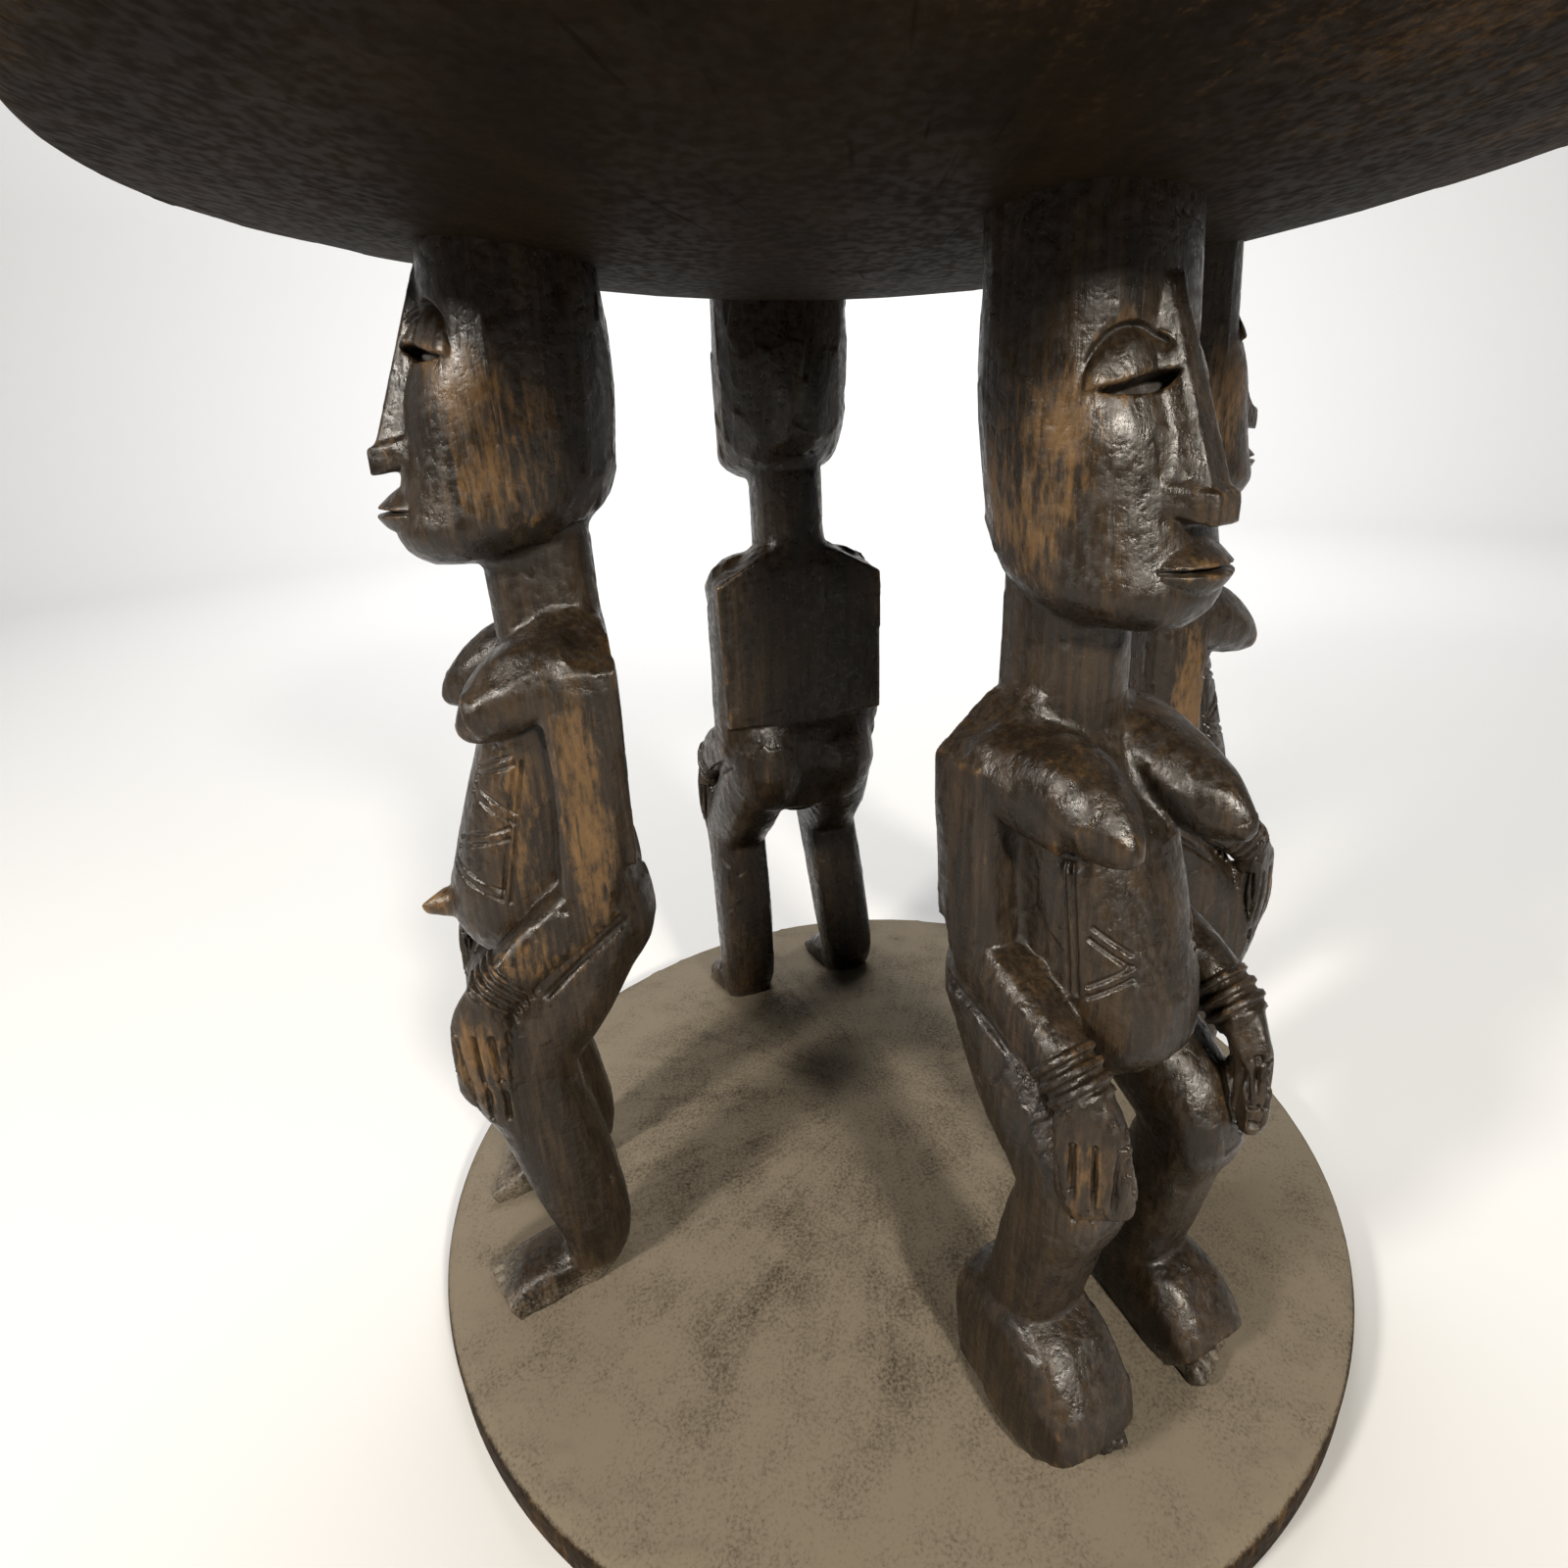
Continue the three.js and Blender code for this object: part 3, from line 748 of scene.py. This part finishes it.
def soften(points, edges, centre, halves, rounds):
    """Runs the forms of a zone into one another, on both sides of the figure."""
    amount = zone(folded(points), centre, halves)
    smoothed = averaged(points, edges, rounds)
    points += (smoothed - points) * amount[:, None]


def to_ring(points, place):
    """Carries a figure from its own frame to its place in the ring."""
    turn = math.radians(180 + place["turn"])
    x = points[:, 0]
    y = points[:, 1] + place["reach"]
    result = np.empty_like(points)
    result[:, 0] = math.cos(turn) * x - math.sin(turn) * y
    result[:, 1] = math.sin(turn) * x + math.cos(turn) * y
    result[:, 2] = points[:, 2] * place["tall"] + FOOTING
    return result


def zone(points, centre, halves):
    """1 in the middle of an egg-shaped zone, falling to 0 at its edge."""
    away = np.linalg.norm((points - centre) / halves, axis=1)
    return 1 - smooth_step(0.35, 1, away)


def edge_masks(mesh, points, normals):
    """How much each place stands out from its surroundings, and how much it lies in a recess."""
    edges = read_edges(mesh)
    fine = ((points - averaged(points, edges, 4)) * normals).sum(1)
    broad = ((points - averaged(points, edges, 30)) * normals).sum(1)
    fine = averaged(fine, edges, 2)
    proud = smooth_step(0.05, 0.45, fine) + smooth_step(0.3, 2.2, broad)
    hollow = smooth_step(0.05, 0.4, -fine) + smooth_step(0.3, 2.0, -broad)
    return np.clip(proud, 0, 1), np.clip(hollow, 0, 1)


def figure_masks(points, place, proud, hollow):
    """Wear and dust of a figure, in its own frame."""
    y, z = points[:, 1], points[:, 2]
    both = folded(points)
    side = both[:, 0]
    lift, out = place["hand_lift"], place["hand_out"]
    arm, body, hand = place["arm_wear"], place["body_wear"], place["hand_wear"]
    wear = 0.42 * proud
    for share, centre, halves in (
            (0.56, (37, 14, face_height(place, 424)), (24, 36, 50)),
            (0.3, (34, 26, face_height(place, 447)), (16, 22, 22)),
            (0.3, (8, 62, face_height(place, 424)), (10, 16, 24)),
            (arm * (side > 40), (58, 3, 268), (16, 15, 90)),
            (body, (40, 34, 262), (22, 24, 52)),
            (body, (0, 82, 212), (16, 24, 18)),
            (0.8 * hand, (56, 34 + out * 0.5, 203 + lift * 0.9), (18, 40, 17)),
            (hand, (55, 70 + out, 150 + lift), (22, 18, 38)),
            (0.3, (32, 42, 306 - place["shoulder_drop"]), (20, 30, 14))):
        wear += share * zone(both, centre, halves)
    wear += 0.25 * smooth_step(22, 8, z) * smooth_step(40, 60, y) * smooth_step(50, 58, side)
    dust = 0.5 * smooth_step(14, -6, z) + 0.4 * hollow * smooth_step(60, 10, z)
    return wear, dust


def finish_piece(piece, points, wear, dust, hollow, material):
    """Stores the masks, puts the piece in metres and gives it its wood."""
    mesh = piece.data
    for name, values in (("wear", wear), ("dust", dust), ("hollow", hollow)):
        layer = mesh.attributes.new(name, "FLOAT", "POINT")
        layer.data.foreach_set("value", np.clip(values, 0, 1).astype(np.float32))
    write_points(mesh, points * MM)
    mesh.polygons.foreach_set("use_smooth", np.ones(len(mesh.polygons), bool))
    mesh.materials.clear()
    mesh.materials.append(material)
    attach(piece, "root")
    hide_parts("carved_table")


def thin_out(piece, faces):
    """Brings a piece down to about so many triangles, keeping its form."""
    mesh = piece.data
    mesh.calc_loop_triangles()
    count = len(mesh.loop_triangles)
    if count <= faces:
        return
    fewer = piece.modifiers.new("Fewer faces", "DECIMATE")
    fewer.ratio = faces / count
    apply_modifiers(piece)


def disc_outline(radius, dome_radius, crown, flat, up):
    """Outline of a disc from its flat side round the rim to the crown of its dome, whose side
    looks up for 1 and down for -1."""
    outline = [(0.0, flat)]
    for share in np.linspace(0.08, 1, 40):
        outline.append((radius * 0.97 * share, flat))
    outline.append((radius - 1.2, flat + 0.4 * up))
    outline.append((radius, flat + 3 * up))
    inner = radius - RIM
    edge = crown - up * inner ** 2 / (2 * dome_radius)
    for turn in np.linspace(0, math.pi / 2, 8):
        outline.append((inner + RIM * math.cos(turn), edge - up * RIM * (1 - math.sin(turn))))
    for share in np.linspace(1, 0, 120)[1:]:
        away = inner * share
        outline.append((away, crown - up * away ** 2 / (2 * dome_radius)))
    return outline


def turned_disc(name, outline, sides=520):
    """A disc spun from its outline, with its doubles merged and its faces pointing out."""
    mesh = bmesh.new()
    verts = [mesh.verts.new((x, 0, z)) for x, z in outline]
    edges = [mesh.edges.new(ends) for ends in zip(verts[:-1], verts[1:])]
    bmesh.ops.spin(mesh, geom=verts + edges, cent=(0, 0, 0), axis=(0, 0, 1), angle=math.tau,
                   steps=sides, use_merge=True)
    bmesh.ops.remove_doubles(mesh, verts=mesh.verts, dist=0.02)
    bmesh.ops.recalc_face_normals(mesh, faces=mesh.faces)
    data = bpy.data.meshes.new(name)
    store_in_order(mesh, data)
    mesh.free()
    piece = bpy.data.objects.new(name, data)
    bpy.context.collection.objects.link(piece)
    return piece


def store_in_order(mesh, data):
    """Stores a spun mesh with its edges and faces sorted by their corners, four at most, since
    their order and the edges' direction would otherwise differ from run to run."""
    mesh.verts.index_update()
    reach = 4 * len(mesh.verts)

    def key(item):
        corners = [vert.index for vert in item.verts]
        return min(corners) * reach + sum(corners)

    for items in (mesh.edges, mesh.faces):
        items.sort(key=key)
        items.index_update()
    mesh.to_mesh(data)
    data.edges.foreach_set("vertices", np.sort(read_edges(data), axis=1).ravel())


def work_dome(piece, up, spacing, seed, most):
    """Leaves adze marks on the domed side of a disc, which looks up for 1 and down for -1."""
    points = read_points(piece.data)
    normals = read_normals(piece.data)
    adze_marks(points, normals, spacing, 0.7, seed, normals[:, 2] * up > 0.3, (1, 1, 1), most)
    write_points(piece.data, points)


def link(tree, source, target):
    """Links a socket to another one, or sets it to a plain value."""
    if isinstance(source, bpy.types.NodeSocket):
        tree.links.new(source, target)
    else:
        target.default_value = source


def node(tree, kind, **settings):
    made = tree.nodes.new(kind)
    for key, value in settings.items():
        setattr(made, key, value)
    return made


def noise(tree, coords, scale, detail, roughness, stretch=(1, 1, 1)):
    """A noise on the given coordinates, which are stretched along their axes first."""
    mapping = node(tree, "ShaderNodeMapping")
    mapping.inputs["Scale"].default_value = stretch
    link(tree, coords, mapping.inputs["Vector"])
    made = node(tree, "ShaderNodeTexNoise")
    for name, value in (("Vector", mapping.outputs["Vector"]), ("Scale", scale),
                        ("Detail", detail), ("Roughness", roughness)):
        link(tree, value, made.inputs[name])
    return made.outputs["Fac"]


def ramp(tree, value, low, high, to_low=0.0, to_high=1.0):
    """Carries a value smoothly from one range to another and stops at its ends."""
    made = node(tree, "ShaderNodeMapRange", interpolation_type="SMOOTHSTEP")
    for name, entry in (("Value", value), ("From Min", low), ("From Max", high),
                        ("To Min", to_low), ("To Max", to_high)):
        link(tree, entry, made.inputs[name])
    return made.outputs["Result"]


def sums(tree, operation, first, second):
    made = node(tree, "ShaderNodeMath", operation=operation)
    link(tree, first, made.inputs[0])
    link(tree, second, made.inputs[1])
    return made.outputs["Value"]


def mix(tree, amount, first, second):
    """Mixes two colours, whose sockets come after those for numbers and directions."""
    made = node(tree, "ShaderNodeMix", data_type="RGBA")
    link(tree, amount, made.inputs["Factor"])
    link(tree, first, made.inputs[6])
    link(tree, second, made.inputs[7])
    return made.outputs[2]


def attribute(tree, name):
    return node(tree, "ShaderNodeAttribute", attribute_name=name).outputs["Fac"]


def radial(tree, coords):
    """Coordinates in which the grain runs outwards from the table's axis."""
    flat = node(tree, "ShaderNodeVectorMath", operation="MULTIPLY")
    flat.inputs[1].default_value = (1, 1, 0)
    link(tree, coords, flat.inputs[0])
    way = node(tree, "ShaderNodeVectorMath", operation="NORMALIZE")
    link(tree, flat.outputs["Vector"], way.inputs[0])
    wide = node(tree, "ShaderNodeVectorMath", operation="SCALE")
    wide.inputs["Scale"].default_value = 0.2
    link(tree, way.outputs["Vector"], wide.inputs[0])
    away = node(tree, "ShaderNodeVectorMath", operation="LENGTH")
    link(tree, flat.outputs["Vector"], away.inputs[0])
    rise = node(tree, "ShaderNodeCombineXYZ")
    link(tree, away.outputs["Value"], rise.inputs["Z"])
    total = node(tree, "ShaderNodeVectorMath", operation="ADD")
    link(tree, wide.outputs["Vector"], total.inputs[0])
    link(tree, rise.outputs["Vector"], total.inputs[1])
    return total.outputs["Vector"]


def carved_wood(name, finish, outwards):
    """Dark handled hardwood: streaked along the grain, mottled brown where it is worn, dusty in the
    recesses, with a hammered surface; on the top's front-right side the same brown is painted
    light. On a disc the grain runs outwards."""
    material = bpy.data.materials.new(name)
    material.use_nodes = True
    tree = material.node_tree
    tree.nodes.clear()
    coords = node(tree, "ShaderNodeTexCoord").outputs["Object"]
    grain = radial(tree, coords) if outwards else coords
    streaks = noise(tree, grain, 100, 6, 0.6, (1, 1, 0.1))
    fissures = noise(tree, grain, 210, 4, 0.6, (1, 1, 0.07))
    fibres = noise(tree, grain, 430, 6, 0.65, (1, 1, 0.05))
    patches = noise(tree, coords, 30, 4, 0.5)
    mottle = noise(tree, coords, 330, 8, 0.7, (1, 1, 0.3))
    specks = noise(tree, coords, 620, 4, 0.6)
    blows = noise(tree, coords, 230, 2, 0.45)

    def colour(key):
        return tuple(getattr(finish, key)) + (1.0,)

    def blend(*parts):
        total = None
        for value, share in parts:
            piece = sums(tree, "MULTIPLY", value, share)
            total = piece if total is None else sums(tree, "ADD", total, piece)
        return total

    crack = ramp(tree, fissures, 0.62, 0.72)
    if outwards:
        brownness = ramp(tree, blend((streaks, 0.3), (mottle, 0.3), (patches, 0.4)), 0.3, 0.8)
    else:
        brownness = ramp(tree, blend((fibres, 0.4), (streaks, 0.35), (patches, 0.25)), 0.44, 0.6)
    base = mix(tree, brownness, colour("dark_wood"), colour("brown_wood"))
    # The mask holds wear and, on the top's front-right side, painted light, so there the rubbed and
    # worn colours below are painted light rather than wear
    wear = attribute(tree, "wear")
    spread = blend((wear, 1.0), (patches, 1.0), (mottle, 2.2), (fibres, 1.0), (streaks, 1.1))
    rubbed = sums(tree, "MULTIPLY", ramp(tree, spread, 2.85, 3.55), ramp(tree, wear, 0.02, 0.2))
    worn = sums(tree, "MULTIPLY", ramp(tree, spread, 3.0, 4.5), ramp(tree, wear, 0.1, 0.35))
    brown = mix(tree, rubbed, base, colour("rubbed_wood"))
    bare = mix(tree, worn, brown, colour("worn_wood"))
    aged = mix(tree, sums(tree, "MULTIPLY", crack, 0.8), bare, colour("dark_wood"))
    hollow = attribute(tree, "hollow")
    deep = mix(tree, sums(tree, "MULTIPLY", hollow, 0.85), aged, colour("dark_wood"))
    dust = attribute(tree, "dust")
    grit = blend((dust, 1.0), (patches, 0.8), (specks, 1.3), (streaks, 0.4))
    dusted = sums(tree, "MULTIPLY", ramp(tree, grit, 1.35, 2.2), ramp(tree, dust, 0.02, 0.2))
    dusty = mix(tree, dusted, deep, colour("dust"))

    shader = node(tree, "ShaderNodeBsdfPrincipled")
    link(tree, dusty, shader.inputs["Base Color"])
    rough = finish.roughness + 0.35 * outwards
    matt = blend((ramp(tree, blows, 0.35, 0.7, rough - 0.07, rough + 0.15), 1.0),
                 (dusted, 0.35), (worn, 0.1), (crack, 0.2), (hollow, 0.3))
    link(tree, matt, shader.inputs["Roughness"])
    shader.inputs["Specular IOR Level"].default_value = 0.04 if outwards else 0.3

    height = blend((blows, 0.75), (fibres, 0.45), (specks, 0.3), (crack, -0.3))
    bump = node(tree, "ShaderNodeBump")
    bump.inputs["Strength"].default_value = 0.12 if outwards else 0.55
    bump.inputs["Distance"].default_value = 0.0011
    link(tree, height, bump.inputs["Height"])
    link(tree, bump.outputs["Normal"], shader.inputs["Normal"])
    output = node(tree, "ShaderNodeOutputMaterial")
    link(tree, shader.outputs["BSDF"], output.inputs["Surface"])
    return material


def wood(name="handled_wood", outwards=False):
    found = bpy.data.materials.get(name)
    return found or carved_wood(name, bpy.context.scene.table_finish, outwards)


class TABLE_OT_top(bpy.types.Operator):
    """Carve the round top with its bowl-like underside"""

    bl_idname = "carved_table.top"
    bl_label = "Top"

    def execute(self, context):
        form = context.scene.table_form
        outline = disc_outline(form.top_radius / MM, form.dome_radius / MM,
                               form.top_belly / MM, form.table_height / MM, -1)
        piece = turned_disc("table_top", outline)
        work_dome(piece, up=-1, spacing=42, seed=21, most=0.5)
        thin_out(piece, form.disc_faces)
        points = read_points(piece.data)
        edges = read_edges(piece.data)
        radius = np.hypot(points[:, 0], points[:, 1])
        rim = smooth_step(form.top_radius / MM - 14, form.top_radius / MM, radius)
        angle = np.arctan2(points[:, 1], points[:, 0])
        # Painted light: the outer part of the top on its front-right side is made lighter, as where
        # the lamps fall on it, and goes into the same mask as the real wear on the rim
        painted_light_side = smooth_step(0.2, 0.9, np.cos(angle + 0.5)) * smooth_step(150, 260, radius)
        wear = averaged(0.3 * rim + 0.35 * painted_light_side, edges, 2)
        finish_piece(piece, points, wear, 0.1 * rim, 0 * rim, wood("disc_wood", True))
        return {"FINISHED"}


class TABLE_OT_base(bpy.types.Operator):
    """Carve the round base with its domed upper side"""

    bl_idname = "carved_table.base"
    bl_label = "Base"

    def execute(self, context):
        form = context.scene.table_form
        outline = disc_outline(form.base_radius / MM, form.dome_radius / MM,
                               form.base_crown / MM, 0, 1)
        piece = turned_disc("table_base", outline)
        work_dome(piece, up=1, spacing=22, seed=31, most=0.8)
        thin_out(piece, form.disc_faces)
        points = read_points(piece.data)
        radius = np.hypot(points[:, 0], points[:, 1])
        rim = smooth_step(form.base_radius / MM - 12, form.base_radius / MM - 1, radius)
        upper = smooth_step(0.2, 0.8, read_normals(piece.data)[:, 2])
        dust = upper * (0.7 + 0.15 * smooth_step(150, 240, radius))
        finish_piece(piece, points, 0.3 * rim, dust, 0 * rim, wood("disc_wood", True))
        return {"FINISHED"}


class TABLE_OT_figures(bpy.types.Operator):
    """Carve the ring of standing figures"""

    bl_idname = "carved_table.figures"
    bl_label = "Figures"

    def execute(self, context):
        form = context.scene.table_form
        for place in FIGURES:
            whole = bmesh.new()
            for part in (head, trunk, arms, hips_and_legs, feet):
                part(whole, place)
            piece = carved_mass(place["name"], whole, form.grain_size)
            mesh = piece.data
            split_faces(mesh, fine_faces(mesh, place))
            edges = read_edges(mesh)
            points = averaged(read_points(mesh), edges, 2)
            drop = place["shoulder_drop"]
            soften(points, edges, (12, 2, 345 - drop), (40, 22, 15), place["soft"])
            write_points(mesh, points)
            carve_figure(points, read_normals(mesh), place)
            points = averaged(points, edges, 1)
            write_points(mesh, points)
            thin_out(piece, form.figure_faces)
            points = read_points(piece.data)
            proud, hollow = edge_masks(piece.data, points, read_normals(piece.data))
            wear, dust = figure_masks(points, place, proud, hollow)
            finish_piece(piece, to_ring(points, place), wear, dust, hollow, wood())
        return {"FINISHED"}


def area_light(name, place, target, size, power, colour=(1, 1, 1)):
    data = bpy.data.lights.new(name, "AREA")
    data.shape = "DISK"
    data.size = size
    data.energy = power
    data.color = colour
    lamp = bpy.data.objects.new(name, data)
    lamp.location = place
    lamp.rotation_euler = (Vector(target) - Vector(place)).to_track_quat("-Z", "Y").to_euler()
    bpy.context.collection.objects.link(lamp)


class TABLE_OT_stage(bpy.types.Operator):
    """Set up the floor, the lights and the camera"""

    bl_idname = "carved_table.stage"
    bl_label = "Stage"

    def execute(self, context):
        scene = context.scene
        mesh = bmesh.new()
        profile = [(0, -FLOOR_GAP), (FLOOR_REACH, -FLOOR_GAP)]
        for turn in np.linspace(0, math.pi / 2, 12)[1:]:
            profile.append((FLOOR_REACH + FLOOR_CURVE * math.sin(turn),
                            FLOOR_CURVE - FLOOR_CURVE * math.cos(turn)))
        profile.append((FLOOR_REACH + FLOOR_CURVE, WALL_HEIGHT))
        verts = [mesh.verts.new((away, 0, z)) for away, z in profile]
        edges = [mesh.edges.new(ends) for ends in zip(verts[:-1], verts[1:])]
        bmesh.ops.spin(mesh, geom=verts + edges, cent=(0, 0, 0), axis=(0, 0, 1), angle=math.tau,
                       steps=96, use_merge=True)
        bmesh.ops.remove_doubles(mesh, verts=mesh.verts, dist=0.001)
        bmesh.ops.recalc_face_normals(mesh, faces=mesh.faces)
        for face in mesh.faces:
            face.smooth = True
        data = bpy.data.meshes.new("floor")
        mesh.to_mesh(data)
        mesh.free()
        floor = bpy.data.objects.new("floor", data)
        scene.collection.objects.link(floor)
        pale = bpy.data.materials.new("pale_floor")
        pale.use_nodes = True
        sockets = pale.node_tree.nodes["Principled BSDF"].inputs
        sockets["Base Color"].default_value = (0.4, 0.4, 0.4, 1)
        sockets["Roughness"].default_value = 0.9
        sockets["Specular IOR Level"].default_value = 0.1
        data.materials.append(pale)
        world = bpy.data.worlds.new("studio")
        world.use_nodes = True
        sockets = world.node_tree.nodes["Background"].inputs
        sockets["Color"].default_value = (1, 1, 1, 1)
        sockets["Strength"].default_value = 0.05
        scene.world = world
        scene.view_settings.view_transform = "Standard"
        area_light("key", (0.75, -1.75, 1.35), (0, 0, 0.3), 0.25, 80, (1, 0.93, 0.82))
        area_light("second", (-1.45, -1.15, 1.35), (0, 0, 0.3), 0.3, 64, (1, 0.93, 0.84))
        area_light("back", (0, 2.2, 3.2), (0, 3.6, 0.3), 2.5, 290)

        camera = bpy.data.cameras.new("camera")
        camera.sensor_width = 36
        camera.lens = FOCAL / PHOTO * camera.sensor_width
        camera.shift_x = SHIFT[0] / PHOTO
        camera.shift_y = SHIFT[1] / PHOTO
        camera.clip_start = 0.01
        viewer = bpy.data.objects.new("camera", camera)
        tilt = Matrix.Rotation(math.radians(90 + PITCH), 4, "X")
        roll = Matrix.Rotation(math.radians(ROLL), 4, "Z")
        viewer.matrix_world = Matrix.Translation(VIEWPOINT) @ tilt @ roll
        scene.collection.objects.link(viewer)
        scene.camera = viewer
        return {"FINISHED"}


class TABLE_PT_panel(bpy.types.Panel):
    """The table's pieces and settings"""

    bl_label = "Carved side table"
    bl_idname = "TABLE_PT_panel"
    bl_space_type = "VIEW_3D"
    bl_region_type = "UI"
    bl_category = "Table"

    def draw(self, context):
        column = self.layout.column()
        for group in (context.scene.table_form, context.scene.table_finish):
            for name in group.__annotations__:
                column.prop(group, name)
        for operator in PIECES:
            column.operator(operator.bl_idname)


PIECES = (TABLE_OT_top, TABLE_OT_base, TABLE_OT_figures, TABLE_OT_stage)
CLASSES = (TableForm, TableFinish) + PIECES + (TABLE_PT_panel,)


def register():
    for kind in CLASSES:
        bpy.utils.register_class(kind)
    bpy.types.Scene.table_form = PointerProperty(type=TableForm)
    bpy.types.Scene.table_finish = PointerProperty(type=TableFinish)


def unregister():
    del bpy.types.Scene.table_finish
    del bpy.types.Scene.table_form
    for kind in reversed(CLASSES):
        bpy.utils.unregister_class(kind)


def main():
    register()
    bpy.ops.carved_table.top()
    bpy.ops.carved_table.base()
    bpy.ops.carved_table.figures()
    bpy.ops.carved_table.stage()


if __name__ == "__main__":
    main()
